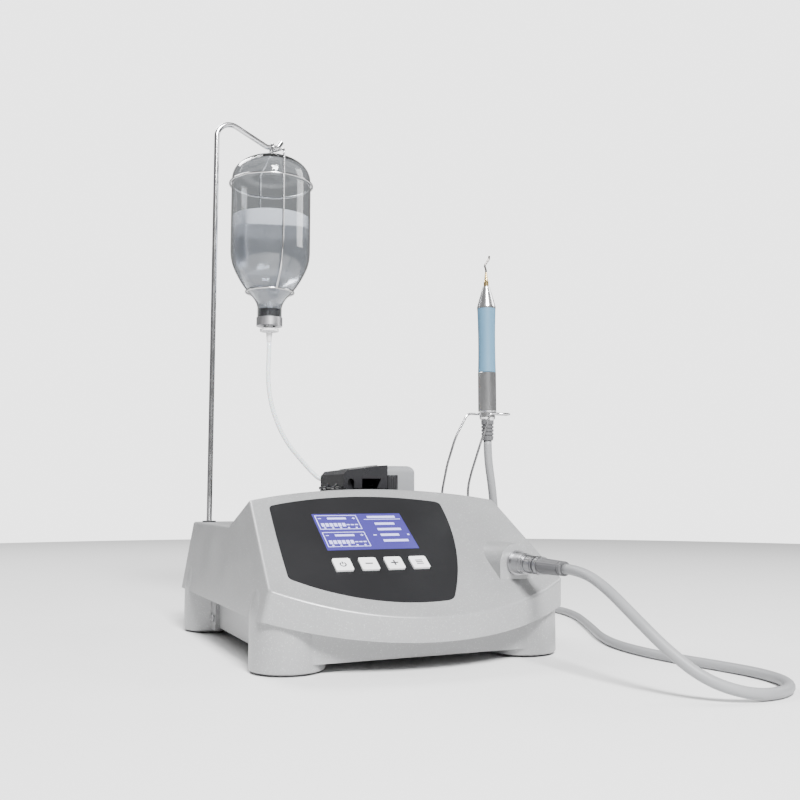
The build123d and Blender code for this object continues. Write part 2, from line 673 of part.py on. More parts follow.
def make_bottle():
    x, y = hook_x, pole_y
    inside = bottle_form(bottle_wall)
    keep("bottle", bottle_form(0) - inside)
    level = Pos(x, y, saline_z + 100) * Box(200, 200, 200)
    plug_top = 292.5
    low = Pos(x, y, plug_top - 50) * Box(200, 200, 100)
    well = rod_z(x, y, spike_r + 0.1, neck_z[0], spike_top_z + 0.2)
    keep("saline", bottle_form(bottle_wall + 0.05) - level - low - well)
    bung_r = neck_r - bottle_wall - 0.03
    stopper = rod_z(x, y, bung_r, neck_z[0], plug_top - 0.1) + rod_z(x, y, neck_r - 0.2, neck_z[0] - 2.4, neck_z[0])
    stopper -= rod_z(x, y, spike_r + 0.03, 200, 300)
    keep("bottle_stopper", stopper)
    crimp = rod_z(x, y, neck_r + 0.8, neck_z[0] - 3.0, neck_z[0] + 5.0)
    crimp -= rod_z(x, y, neck_r + 0.05, neck_z[0] - 2.4, neck_z[0] + 6)
    crimp -= rod_z(x, y, 6.0, neck_z[0] - 5, neck_z[0])
    keep("crimp_collar", crimp)
    spike = turned([
        (0, spike_end_z), (2.2, spike_end_z), (2.7, 268.0), (3.2, 271.6), (8.8, 271.6), (8.8, 273.6), (3.4, 273.6),
        (3.4, neck_z[0] - 2.4), (spike_r, neck_z[0] - 2.4), (spike_r, spike_top_z - 6), (0.6, spike_top_z), (0, spike_top_z),
    ], x, y)
    keep("drip_spike", spike)


spike_r = 2.4
spike_top_z = 300.0


def make_cradle():
    x, y = hook_x, pole_y
    ring = bottle_r + cradle_fit + cradle_wire_r
    eye_z = hook_z + pole_r + eye_gap - (eye_r - cradle_wire_r)
    cradle = Pos(x, y, ring_z) * Torus(ring, cradle_wire_r)
    cradle += Pos(x, y, low_ring_z) * Torus(low_ring_r, cradle_wire_r)
    cradle += Pos(x, y, eye_z) * Rot(0, 90, 0) * Torus(eye_r, cradle_wire_r)
    out = ring + 1.5 * cradle_wire_r
    for side in (-1, 1):
        leg = [
            (x, y + side * 3.9, eye_z - 3.0), (x, y + side * 12, eye_z - 6.2), (x, y + side * out, 436.0),
            (x, y + side * out, 346.0), (x, y + side * 35.5, 326.0),
            (x, y + side * low_ring_r, low_ring_z - 0.4),
        ]
        wire, _ = bent(leg, cradle_wire_r, radii=[8, 5, 40, 30])
        cradle += wire
    keep("bottle_cradle", cradle)


# ================================================================ irrigation pump
def lid_top_z(x):
    return lid_z0 + (x - pump_x0) * (lid_z1 - lid_z0) / (pump_x1 - pump_x0)


def xz_prism(points, y0, y1):
    """A polygon of (x, z) points, extruded along Y."""
    face = Plane.XZ * make_face(Polyline(*points, close=True))
    return Pos(0, y1, 0) * extrude(face, amount=y1 - y0)


def make_pump():
    x0, x1, y0, y1 = pump_x0, pump_x1, pump_y0, pump_y1
    w = pump_wall
    # body: open tray for the rotor, and a bay for the gearbox
    body = box(x0, x1, y0, y1, deck_z, pump_rim_z)
    body -= box(x0 + w, partition_x, y0 + w, y1 - w, deck_z + w, pump_rim_z + 1)
    body -= box(partition_x + w, x1 - w, y0 + w, y1 - w, deck_z + w, pump_rim_z + 1)
    partition = box(partition_x, partition_x + w, rotor_y - 16, rotor_y + 16, deck_z + w, rotor_z + 8)
    body += partition
    body -= rod_x(rotor_y, rotor_z, shaft_r + 0.5, partition_x - 1, partition_x + w + 1)
    body -= rod_x(rotor_y, rotor_z, motor_r + lid_gap, x1 - w - 1, x1 + 1)
    body -= rod_z(rotor_x, tube_front_y, 2.6, deck_z - 1, deck_z + w + 1)
    saddle_top = tube_z - connector_r
    body += box(rotor_x - 3, rotor_x + 3, y1, y1 + 7, saddle_top - 16, pump_rim_z)
    body += box(rotor_x - 3, rotor_x + 3, y1 + 0.9, y1 + 7, pump_rim_z - 1, saddle_top)
    for y in (y0 + 4, y1 - 10):
        lug = box(hinge_x - 0.2, x0 + 0.1, y, y + 6, hinge_z - 4.4, hinge_z - knuckle_r + 0.6)
        lug += rod_y(hinge_x, hinge_z, knuckle_r, y, y + 6)
        body += lug
    body -= rod_y(hinge_x, hinge_z, hinge_pin_r, y0, y1)
    keep("pump_body", body)
    keep("lid_hinge_pin", rod_y(hinge_x, hinge_z, hinge_pin_r, y0 + 3, y1 - 3))

    # lid: a wedge-topped cap with a curved track under it
    e = lid_edge
    outer = xz_prism([(x0 - e, lid_low_z), (x0 - e, lid_top_z(x0) - 3), (x0 + 2.5, lid_top_z(x0 + 2.5)),
                      (x1 + e, lid_top_z(x1 + e)), (x1 + e, lid_low_z)], y0 - e, y1 + e)
    rear_edge = [q for q in outer.edges() if q.center().Y > y1 and q.center().Z > lid_low_z + 8]
    outer = fillet(rear_edge, 2.0)
    hollow = xz_prism([(x0 - e + w, lid_low_z - 1), (x0 - e + w, lid_top_z(x0) - w - 3), (x0 + 3.2, lid_top_z(x0) - w),
                       (x1 + e - w, lid_top_z(x1) - w), (x1 + e - w, lid_low_z - 1)], y0 - e + w, y1 + e - w)
    lid = outer - hollow
    track_r = roller_pitch_r + roller_r + 2 * tube_gap + drip_tube_d
    shoe = box(rotor_x - 4.8, rotor_x + 4.8, rotor_y - track_r - 3, rotor_y, rotor_z + 4, lid_top_z(x0) - w + 1)
    lid += shoe - rod_x(rotor_y, rotor_z, track_r, x0 - 5, x1)
    lid -= box(rotor_x - 2.6, rotor_x + 5.3, y1 - w, y1 + 2, lid_low_z - 1, tube_z + 2.6)
    lid -= rod_x(rotor_y, rotor_z, motor_r + 0.8, x1 - w, x1 + 2)
    # sight openings in the front skirt
    front0, front1 = y0 - e - 1, y0 - e + w + 0.5
    sight = box(0.6, 6.4, front0, front1, lid_low_z - 1, 129.6) + rod_y(3.5, 129.6, 2.9, front0, front1)
    lid -= sight
    lid -= xz_prism([(13.6, lid_low_z - 1), (13.6, 132.6), (31.6, 132.6), (27.4, lid_low_z - 1)], front0, front1)
    middle = (y0 + y1) / 2
    for ya in (middle - 14.0, middle + 8.0):
        lid += rod_y(hinge_x, hinge_z, knuckle_r, ya, ya + 6)
        lid += xz_prism([(hinge_x - 0.3, hinge_z + 0.4), (hinge_x + 0.5, hinge_z + knuckle_r),
                         (x0 - e + 0.5, 129.5), (x0 - e + 0.5, lid_low_z + 0.6)], ya, ya + 6)
    lid -= rod_y(hinge_x, hinge_z, hinge_pin_r + running_fit, y0 - 5, y1 + 5)
    keep("pump_lid", lid)
    slope = math.degrees(math.atan2(lid_z1 - lid_z0, x1 - x0))
    clip_x = 22.0
    clip = Pos(clip_x, middle, lid_top_z(clip_x)) * Rot(0, -slope, 0) * Pos(0, 0, clip_t / 2)
    strip = clip * Box(29, 24, clip_t)
    strip = fillet(strip.edges().filter_by(lambda q: abs(q.length - clip_t) < 0.01), 3.0)
    keep("lid_spring_plate", strip)

    # rotor with its pins, and the rollers on them
    rx0 = rotor_x - rotor_w / 2
    rx1 = rotor_x + rotor_w / 2
    rotor = rod_x(rotor_y, rotor_z, rotor_plate_r, rx0, rx0 + rotor_plate_t)
    rotor += rod_x(rotor_y, rotor_z, rotor_plate_r, rx1 - rotor_plate_t, rx1)
    rotor += rod_x(rotor_y, rotor_z, 4.5, rx0, rx1)
    rotor += rod_x(rotor_y, rotor_z, shaft_r, rx1, partition_x + 9)
    places = [(rotor_y + roller_pitch_r * math.sin(a), rotor_z + roller_pitch_r * math.cos(a))
              for a in [math.radians(45 + 360 / roller_count * i) for i in range(roller_count)]]
    for y, z in places:
        rotor += rod_x(y, z, pin_r, rx0, rx1)
    keep("pump_rotor", rotor)
    for i, (y, z) in enumerate(places):
        roller = rod_x(y, z, roller_r, rotor_x - roller_len / 2, rotor_x + roller_len / 2)
        roller -= rod_x(y, z, pin_r + running_fit, rx0 - 1, rx1 + 1)
        keep(f"pump_roller_{i + 1}", roller)

    # geared motor
    gx0 = partition_x + w
    mx0 = gx0 + gearbox_len
    motor = rod_x(rotor_y, rotor_z, gearbox_r, gx0, mx0)
    motor += rod_x(rotor_y, rotor_z, motor_r, mx0, mx0 + motor_len)
    motor += rod_x(rotor_y, rotor_z, 4.0, mx0 + motor_len, mx0 + motor_len + 2)
    motor -= rod_x(rotor_y, rotor_z, shaft_r + running_fit, gx0 - 1, gx0 + 8)
    keep("pump_gearmotor", motor)

    # tubing in the pump, its rear connector and its outlet barb
    r = roller_pitch_r + roller_r + tube_gap + drip_tube_d / 2
    run = [(rotor_x, y1 + 2, tube_z), (rotor_x, rotor_y - r, tube_z), (rotor_x, rotor_y - r, barb_top_z)]
    tubing, _ = bent(run, drip_tube_d / 2, radii=[r])
    keep("pump_tubing", tubing)
    connector = rod_y(rotor_x, tube_z, connector_r, y1 + 2, y1 + 2 + connector_len)
    connector += box(rotor_x - 1.5, rotor_x + 1.5, y1 + 2, y1 + 5, saddle_top, tube_z)
    connector -= rod_y(rotor_x, tube_z, connector_r + 1, y1 + 5, y1 + 6) - rod_y(
        rotor_x, tube_z, connector_r - 0.6, y1 + 4, y1 + 7)
    keep("tube_connector", connector)
    barb = turned([(0, deck_z - wall - 4), (1.6, deck_z - wall - 4), (1.6, deck_z - wall), (2.5, deck_z - wall),
                   (2.5, deck_z + 4), (1.5, deck_z + 4), (1.2, barb_top_z), (0, barb_top_z)],
                  rotor_x, tube_front_y)
    keep("outlet_barb", barb)

    # side cover over the motor, with a bay for the ribbed latch
    cover = box(cover_x0, cover_x1, y0 + 2, y1 - 2, deck_z, cover_top_z)
    cover = fillet([q for q in cover.edges() if q.center().Z > cover_top_z - 1], 6.0)
    core = box(cover_x0 - 1, cover_x1 - w, y0 + 2 + w, y1 - 2 - w, deck_z - 1, cover_top_z - w)
    core = fillet([q for q in core.edges() if q.center().Z > cover_top_z - 4 and q.center().X > cover_x0], 4.0)
    cover -= core
    bay_x1 = latch_x1 + latch_travel + 0.3
    cover += box(cover_x0, bay_x1 + w, y0 + 2, latch_y1 + 0.4 + w, deck_z, latch_top_z + 0.4 + w) & box(
        cover_x0, cover_x1, y0 + 2, y1, deck_z, cover_top_z - w)
    cover -= box(cover_x0 - 1, bay_x1, y0, latch_y1 + 0.4, deck_z - 1, latch_top_z + 0.4)
    keep("pump_cover", cover)
    latch = box(latch_x0, latch_x1, latch_y0, latch_y1, deck_z + 0.3, latch_top_z)
    latch = fillet([q for q in latch.edges() if q.center().Z > latch_top_z - 0.5], 0.6)
    for i in range(4):
        rib_x = latch_x0 + 1.4 + 1.7 * i
        latch += box(rib_x, rib_x + 0.9, latch_y0 - 0.7, latch_y0 + 1, deck_z + 6, latch_top_z - 1.2)
    keep("lid_latch", latch)


tube_z = rotor_z + roller_pitch_r + roller_r + tube_gap + drip_tube_d / 2
barb_top_z = deck_z + 9.0
connector_r = 3.0
connector_len = 9.0
latch_x0, latch_x1 = 38.9, 46.6
latch_y0, latch_y1 = 36.0, 44.6
latch_top_z = 135.4


# ================================================================ rear panel and electronics
def make_rear():
    x0, x1, z0, z1 = rear_open
    y1 = rear_y - wall
    y0 = y1 - rear_plate_t
    plate = box(x0 - 5, x1 + 5, y0, y1, z0 - 4, z1 + 4)
    inlet_hole = box(inlet_x - 13.7, inlet_x + 13.7, y0 - 1, y1 + 1, rear_mid_z - 10, rear_mid_z + 10)
    rocker_hole = box(rocker_x - 7, rocker_x + 7, y0 - 1, y1 + 1, rear_mid_z - 10, rear_mid_z + 10)
    plate -= inlet_hole + rocker_hole + rod_y(jack_x, rear_mid_z, jack_r + 2.0, y0 - 1, y1 + 1)
    keep("rear_plate", plate)
    inlet = box(inlet_x - 13.6, inlet_x + 13.6, y1 - 22, y1, rear_mid_z - 9.9, rear_mid_z + 9.9)
    inlet += box(inlet_x - 15.5, inlet_x + 15.5, y1, y1 + 2.2, rear_mid_z - 12, rear_mid_z + 12)
    well = box(inlet_x - 12, inlet_x + 12, y1 - 16, y1 + 3, rear_mid_z - 8, rear_mid_z + 8)
    well = chamfer([q for q in well.edges() if abs(q.length - 19) < 0.1 and q.center().Z > rear_mid_z], 4.5)
    inlet -= well
    for dx, dz in ((-7, 2), (0, -2), (7, 2)):
        cx, cz = inlet_x + dx, rear_mid_z + dz
        inlet += box(cx - 1, cx + 1, y1 - 17, y1 - 3, cz - 2, cz + 2)
    keep("mains_inlet", inlet)
    bezel = box(rocker_x - 8.5, rocker_x + 8.5, y1, y1 + 1.8, rear_mid_z - 12, rear_mid_z + 12)
    bezel += box(rocker_x - 6.9, rocker_x + 6.9, y1 - 16, y1, rear_mid_z - 9.9, rear_mid_z + 9.9)
    gap = 0.4
    bezel -= box(rocker_x - rocker_w / 2 - gap, rocker_x + rocker_w / 2 + gap, y1 - 13, y1 + 3,
                 rear_mid_z - rocker_half - 1.4, rear_mid_z + rocker_half + 1.4)
    bezel -= rod_x(rocker_y, rear_mid_z, rocker_pin_r + running_fit, rocker_x - 9, rocker_x + 9)
    keep("switch_bezel", bezel)
    # stored with its lower half pressed in, which is off
    far_y = rocker_face + rocker_half * math.tan(math.radians(rocker_tilt))
    rocker = yz_prism([(-3.5, -6.0), (far_y, -rocker_half), (rocker_face, 0), (far_y, rocker_half), (-3.5, 6.0)],
                      -rocker_w / 2, rocker_w / 2)
    rocker += rod_x(0, 0, rocker_pin_r, -6.8, 6.8)
    keep("power_rocker", Pos(rocker_x, rocker_y, rear_mid_z) * Rot(-rocker_tilt, 0, 0) * rocker)
    mouth_y = y1 + 2.6
    contact_y = mouth_y - jack_len - 5.0
    jack = rod_y(jack_x, rear_mid_z, jack_r + 1.8, contact_y - 3, mouth_y)
    jack += rod_y(jack_x, rear_mid_z, jack_r + 4.0, y1, y1 + 2.0)
    jack -= rod_y(jack_x, rear_mid_z, jack_r, mouth_y - jack_len, mouth_y + 1)
    jack -= rod_y(jack_x, rear_mid_z, jack_r - 1.4, contact_y, mouth_y)
    for i in range(4):
        a = math.radians(45 + 90 * i)
        jack += rod_y(jack_x + 3 * math.cos(a), rear_mid_z + 3 * math.sin(a), 0.6, contact_y - 1, mouth_y - jack_len)
    keep("footswitch_socket", jack)


rocker_y = rear_y - wall - 5.0
rocker_pin_r = 1.0


def make_electronics():
    x0, x1 = board_posts[0][0] - 6, board_posts[-1][0] + 6
    y0, y1 = board_posts[0][1] - 6, board_posts[-1][1] + 6
    board = box(x0, x1, y0, y1, board_z, board_z + board_t)
    top = board_z + board_t
    board += box(x0 + 8, x0 + 34, y0 + 14, y0 + 40, top, top + 4)
    board += box(x0 + 48, x0 + 62, y0 + 10, y0 + 66, top, top + 14)
    for i in range(3):
        board += rod_z(x1 - 12, y0 + 16 + 18 * i, 5.0, top, top + 16)
    board += box(x0 + 10, x0 + 40, y1 - 14, y1 - 6, top, top + 9)
    keep("main_board", board)
    z0 = tray_z + tray_floor
    core = box(40, 82, 48, 100, z0, z0 + 40)
    winding = box(46, 76, 42, 106, z0 + 8, z0 + 32)
    keep("transformer", core + winding)


# ================================================================ free tubing and the handpiece hose
drip_route = [
    (hook_x, pole_y, spike_end_z), (hook_x, pole_y, 247.5), (-44.7, 127.4, 231.0), (-42.8, 127.3, 209.5),
    (-36.4, 127.0, 187.5), (-25.3, 126.5, 166.5), (-11.2, 125.8, 150.4), (-0.3, 125.0, 138.7),
    (rotor_x, 116.0, tube_z), (rotor_x, pump_y1 + 2 + connector_len, tube_z),
]

hose_front_route = [
    (sock_x, boot_end_y, sock_z), (75.1, -199.0, sock_z), (75.6, -223.0, 61.0), (78.5, -247.0, 45.5),
    (85.5, -269.0, 27.5), (98.5, -287.0, 12.0), (122.0, -298.5, 4.3), (150.0, -296.5, 3.6),
    (172.0, -278.5, 3.6), (180.0, -249.0, 3.6), (175.0, -216.0, 3.6), (167.0, -183.0, 3.6), (163.0, -147.0, 3.6),
    (167.0, -109.0, 3.6), (181.0, -72.0, 3.6), (200.0, -36.0, 3.6), (220.0, 4.0, 3.6), (239.0, 44.0, 3.6),
    (250.0, 85.0, 3.6), (246.0, 124.0, 3.6), (222.0, 151.0, 3.6), (186.0, 160.0, 3.6), (150.0, 156.5, 3.6),
    (114.0, 156.5, 3.6),
]

# the spare hose lies behind the unit in two layers of two turns, with a straight lead at each end
coil_x, coil_y = 88.0, 200.0
coil_turn_r = (43.5, 36.2)
coil_z = (3.6, 11.0)
coil_lead = 26.0

hose_rear_route = [
    (coil_x + coil_turn_r[0], coil_y - coil_lead, coil_z[1]), (131.5, 150.0, coil_z[1]), (131.3, 127.0, 8.0),
    (130.8, 103.0, 3.9), (130.0, 78.0, 4.6), (129.4, 54.0, 9.6), (128.4, 32.0, 23.5), (126.6, 12.5, 45.0),
    (123.4, -1.0, 71.0), (118.6, -10.5, 99.0), (113.2, -15.6, 126.0), (hp_x, hp_y, 150.0), (hp_x, hp_y, hp_z0),
]


def make_cords():
    for name, route, d in (("drip_tube", drip_route, drip_tube_d), ("hose_front", hose_front_route, hose_d),
                           ("hose_rear", hose_rear_route, hose_d)):
        radii = natural_radii(route)
        tube, length = bent(route, d / 2, radii)
        print(name, "length", round(length, 1), "least radius / d", round(min(radii) / d, 2),
              "volume error", round(tube.volume / (math.pi * d * d / 4 * length) - 1, 5))
        keep(name, tube)
    outer = coil_turn_r[0] + hose_d / 2
    inner = coil_turn_r[1] - hose_d / 2
    top = coil_z[1] + hose_d / 2
    low = coil_z[0] - hose_d / 2
    coil = rod_z(coil_x, coil_y, outer, low, top) - rod_z(coil_x, coil_y, inner, low - 1, top + 1)
    coil += rod_x(coil_y - coil_turn_r[0], coil_z[0], hose_d / 2, coil_x, coil_x + coil_lead)
    coil += rod_y(coil_x + coil_turn_r[0], coil_z[1], hose_d / 2, coil_y - coil_lead, coil_y)
    outer_turns, inner_turns = 1.75, 2
    wound = 2 * math.pi * (outer_turns * coil_turn_r[0] + inner_turns * coil_turn_r[1])
    print("hose_coil length", round(wound + 2 * coil_lead, 1))
    keep("hose_coil", coil)


make_shells()
make_face_parts()
make_socket_and_plug()
make_handpiece()
make_rest()
make_pole()
make_bottle()
make_cradle()
make_pump()
make_rear()
make_electronics()
make_cords()
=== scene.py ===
import math

import bmesh
import bpy
from mathutils import Matrix, Vector


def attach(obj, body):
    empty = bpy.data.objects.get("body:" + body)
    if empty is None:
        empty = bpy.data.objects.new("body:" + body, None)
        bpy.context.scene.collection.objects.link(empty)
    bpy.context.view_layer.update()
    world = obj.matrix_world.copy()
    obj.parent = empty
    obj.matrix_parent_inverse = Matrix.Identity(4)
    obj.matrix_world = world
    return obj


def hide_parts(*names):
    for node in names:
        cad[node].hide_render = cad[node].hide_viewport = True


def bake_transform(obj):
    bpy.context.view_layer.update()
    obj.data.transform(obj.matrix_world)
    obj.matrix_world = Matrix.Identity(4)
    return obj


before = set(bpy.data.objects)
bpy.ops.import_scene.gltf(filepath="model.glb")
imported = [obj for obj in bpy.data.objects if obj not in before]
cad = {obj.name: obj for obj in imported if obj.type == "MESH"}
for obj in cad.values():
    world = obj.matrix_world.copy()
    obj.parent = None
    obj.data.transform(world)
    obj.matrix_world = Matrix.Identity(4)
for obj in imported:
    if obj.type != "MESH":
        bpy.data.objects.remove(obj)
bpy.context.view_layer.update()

# ---------------------------------------------------------------- camera
# Stands to the left of the unit at about deck height, looking slightly up.
camera_lens = bpy.data.cameras.new("camera")
camera_lens.sensor_width = 36.0
camera_lens.lens = 42.07
camera = bpy.data.objects.new("camera", camera_lens)
camera.location = (-0.2888, -0.7168, 0.1193)
camera.rotation_euler = (math.radians(95.739), 0.0, math.radians(-24.236))
bpy.context.collection.objects.link(camera)
bpy.context.scene.camera = camera

# ---------------------------------------------------------------- handpiece hose
# Grey silicone hose, 7 mm, drawn over the power leads and the water line. It leaves the plug, lies round the
# unit on the table, is wound into a coil behind it and climbs to the handpiece on its rest.
hose_d = 0.007
hose_from_plug = [
    (0.0751, -0.1791, 0.069), (0.0751, -0.199, 0.069), (0.0756, -0.223, 0.061), (0.0785, -0.247, 0.0455),
    (0.0855, -0.269, 0.0275), (0.0985, -0.287, 0.012), (0.122, -0.2985, 0.0043), (0.150, -0.2965, 0.0036),
    (0.172, -0.2785, 0.0036), (0.180, -0.249, 0.0036), (0.175, -0.216, 0.0036), (0.167, -0.183, 0.0036),
    (0.163, -0.147, 0.0036), (0.167, -0.109, 0.0036), (0.181, -0.072, 0.0036), (0.200, -0.036, 0.0036),
    (0.220, 0.004, 0.0036), (0.239, 0.044, 0.0036), (0.250, 0.085, 0.0036), (0.246, 0.124, 0.0036),
    (0.222, 0.151, 0.0036), (0.186, 0.160, 0.0036), (0.150, 0.1565, 0.0036), (0.114, 0.1565, 0.0036),
]
coil_middle = (0.088, 0.200)
coil_outer, coil_inner = 0.0442, 0.0368
coil_low, coil_high = 0.0036, 0.0110


def between(turned, start, end, before, after):
    """A value that goes from before to after while the winding turns from start to end, in degrees."""
    share = min(1.0, max(0.0, (turned - start) / (end - start)))
    return before + (after - before) * share


hose_coil_turns = []
for step in range(45):
    turned = 22.5 * step
    r = between(turned, 290, 350, coil_outer, coil_inner)
    if turned > 700:
        r = between(turned, 880, 940, coil_inner, coil_outer)
    angle = math.radians(-90 - turned)
    hose_coil_turns.append((coil_middle[0] + r * math.cos(angle), coil_middle[1] + r * math.sin(angle),
                            between(turned, 590, 650, coil_low, coil_high)))
hose_to_handpiece = [
    (0.1315, 0.174, 0.0110), (0.1315, 0.150, 0.0110), (0.1313, 0.127, 0.0080), (0.1308, 0.103, 0.0039),
    (0.130, 0.078, 0.0046), (0.1294, 0.054, 0.0096), (0.1284, 0.032, 0.0235), (0.1266, 0.0125, 0.045),
    (0.1234, -0.001, 0.071), (0.1186, -0.0105, 0.099), (0.1132, -0.0156, 0.126), (0.1086, -0.017, 0.150),
    (0.1086, -0.017, 0.165),
]


def tube_along(name, points, diameter):
    """A closed tube mesh on a smooth line through the route, and the line itself as points."""
    line = bpy.data.curves.new(name + "_line", "CURVE")
    line.dimensions = "3D"
    spline = line.splines.new("NURBS")
    spline.points.add(len(points) - 1)
    for control, place in zip(spline.points, points):
        control.co = (*place, 1.0)
    spline.order_u = 3
    spline.use_endpoint_u = True
    spline.resolution_u = 7
    holder = bpy.data.objects.new(name + "_line", line)
    centre = bpy.data.meshes.new_from_object(holder)
    path = [tuple(vertex.co) for vertex in centre.vertices]
    line.bevel_depth = diameter / 2
    line.bevel_resolution = 5
    line.use_fill_caps = True
    mesh = bpy.data.meshes.new_from_object(holder)
    bm = bmesh.new()
    bm.from_mesh(mesh)
    bmesh.ops.remove_doubles(bm, verts=bm.verts, dist=1e-6)
    bmesh.ops.recalc_face_normals(bm, faces=bm.faces)
    for face in bm.faces:
        face.smooth = True
    bm.to_mesh(mesh)
    bm.free()
    mesh.name = name
    tube = bpy.data.objects.new(name, mesh)
    bpy.context.collection.objects.link(tube)
    bpy.data.objects.remove(holder)
    return tube, path


def node(tree, kind, **settings):
    """A shader node with its settings. A setting named for an input gives that input's value."""
    made = tree.nodes.new("ShaderNode" + kind)
    for key, value in settings.items():
        if hasattr(made, key):
            setattr(made, key, value)
        else:
            made.inputs[key.replace("_", " ")].default_value = value
    return made


def open_group(name, inputs, outputs):
    group = bpy.data.node_groups.new(name, "ShaderNodeTree")
    for label, kind, start in inputs:
        group.interface.new_socket(label, in_out="INPUT", socket_type=kind).default_value = start
    for label, kind in outputs:
        group.interface.new_socket(label, in_out="OUTPUT", socket_type=kind)
    return group, group.nodes.new("NodeGroupInput"), group.nodes.new("NodeGroupOutput")


# Moulded skin: slow mottling of the colour, bright specks of flake, fine spark-eroded grain, rubbed patches.
moulded_skin, skin_in, skin_out = open_group("moulded_skin", [
    ("Colour", "NodeSocketColor", (0.5, 0.5, 0.5, 1)), ("Mottle", "NodeSocketFloat", 0.1),
    ("Specks", "NodeSocketFloat", 0.0), ("Grain Scale", "NodeSocketFloat", 900.0),
    ("Roughness", "NodeSocketFloat", 0.5), ("Rubbed", "NodeSocketFloat", 0.1),
], [("Colour", "NodeSocketColor"), ("Roughness", "NodeSocketFloat"), ("Height", "NodeSocketFloat")])
link = moulded_skin.links.new
place = node(moulded_skin, "TexCoord")
broad = node(moulded_skin, "TexNoise", Scale=18.0, Detail=3.0)
fine = node(moulded_skin, "TexNoise", Detail=2.0)
flake = node(moulded_skin, "TexVoronoi", feature="F1")
flake_scale = node(moulded_skin, "Math", operation="MULTIPLY")
flake_scale.inputs[1].default_value = 2.2
link(skin_in.outputs["Grain Scale"], flake_scale.inputs[0])
link(flake_scale.outputs[0], flake.inputs["Scale"])
for texture in (broad, fine, flake):
    link(place.outputs["Object"], texture.inputs["Vector"])
link(skin_in.outputs["Grain Scale"], fine.inputs["Scale"])
sway = node(moulded_skin, "MapRange")
sway.inputs["From Min"].default_value, sway.inputs["From Max"].default_value = 0.3, 0.7
sway.inputs["To Min"].default_value, sway.inputs["To Max"].default_value = -1.0, 1.0
link(broad.outputs["Fac"], sway.inputs["Value"])
shade = node(moulded_skin, "Math", operation="MULTIPLY")
link(sway.outputs[0], shade.inputs[0])
link(skin_in.outputs["Mottle"], shade.inputs[1])
gain = node(moulded_skin, "Math", operation="ADD")
gain.inputs[1].default_value = 1.0
link(shade.outputs[0], gain.inputs[0])
spark = node(moulded_skin, "MapRange")
spark.inputs["From Min"].default_value, spark.inputs["From Max"].default_value = 0.75, 0.95
link(flake.outputs["Color"], spark.inputs["Value"])
spark_on = node(moulded_skin, "Math", operation="MULTIPLY_ADD")
link(spark.outputs[0], spark_on.inputs[0])
link(skin_in.outputs["Specks"], spark_on.inputs[1])
link(gain.outputs[0], spark_on.inputs[2])
tinted = node(moulded_skin, "VectorMath", operation="SCALE")
link(skin_in.outputs["Colour"], tinted.inputs[0])
link(spark_on.outputs[0], tinted.inputs["Scale"])
link(tinted.outputs[0], skin_out.inputs["Colour"])
worn = node(moulded_skin, "Math", operation="MULTIPLY_ADD")
link(sway.outputs[0], worn.inputs[0])
link(skin_in.outputs["Rubbed"], worn.inputs[1])
link(skin_in.outputs["Roughness"], worn.inputs[2])
link(worn.outputs[0], skin_out.inputs["Roughness"])
link(fine.outputs["Fac"], skin_out.inputs["Height"])


def moulded(name, colour, roughness, mottle=0.05, specks=0.0, grain=900.0, depth=0.00002, rubbed=0.05,
            metallic=0.0, coat=0.0):
    """A plastic or rubber finish."""
    material = bpy.data.materials.new(name)
    material.use_nodes = True
    tree = material.node_tree
    shader = tree.nodes["Principled BSDF"]
    skin = tree.nodes.new("ShaderNodeGroup")
    skin.node_tree = moulded_skin
    for label, value in (("Colour", (*colour, 1)), ("Mottle", mottle), ("Specks", specks),
                         ("Grain Scale", grain), ("Roughness", roughness), ("Rubbed", rubbed)):
        skin.inputs[label].default_value = value
    bump = node(tree, "Bump", Strength=0.6, Distance=depth)
    tree.links.new(skin.outputs["Colour"], shader.inputs["Base Color"])
    tree.links.new(skin.outputs["Roughness"], shader.inputs["Roughness"])
    tree.links.new(skin.outputs["Height"], bump.inputs["Height"])
    tree.links.new(bump.outputs["Normal"], shader.inputs["Normal"])
    shader.inputs["Metallic"].default_value = metallic
    shader.inputs["Coat Weight"].default_value = coat
    return material


def dress(material, *names):
    """Gives CAD nodes their material."""
    for name in names:
        for material_slot in cad[name].material_slots:
            material_slot.material = material


hose_rubber = moulded("hose_rubber", (0.24, 0.243, 0.25), 0.48, mottle=0.06, grain=1500, rubbed=0.08)
hose, hose_path = tube_along("handpiece_hose", hose_from_plug + hose_coil_turns + hose_to_handpiece, hose_d)
hose.data.materials.append(hose_rubber)
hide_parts("hose_front", "hose_coil", "hose_rear")
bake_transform(hose)

# ---------------------------------------------------------------- drip tube
# Clear soft vinyl tube, 4 mm, extruded. It hangs from the bottle's spike under its own weight and bends into
# the pump's rear connector.
drip_d = 0.004
drip_route = [
    (-0.0439, 0.1274, 0.2619), (-0.0439, 0.1274, 0.2475), (-0.0447, 0.1274, 0.231), (-0.0428, 0.1273, 0.2095),
    (-0.0364, 0.127, 0.1875), (-0.0253, 0.1265, 0.1665), (-0.0112, 0.1258, 0.1504), (-0.0003, 0.125, 0.1387),
    (0.0045, 0.116, 0.1323), (0.0045, 0.104, 0.1323),
]
vinyl = moulded("clear_vinyl", (0.80, 0.82, 0.83), 0.30, mottle=0.04, grain=2000, rubbed=0.05, coat=0.3)
vinyl.node_tree.nodes["Principled BSDF"].inputs["Subsurface Weight"].default_value = 0.2
drip_tube, drip_path = tube_along("drip_line", drip_route, drip_d)
drip_tube.data.materials.append(vinyl)
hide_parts("drip_tube")
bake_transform(drip_tube)

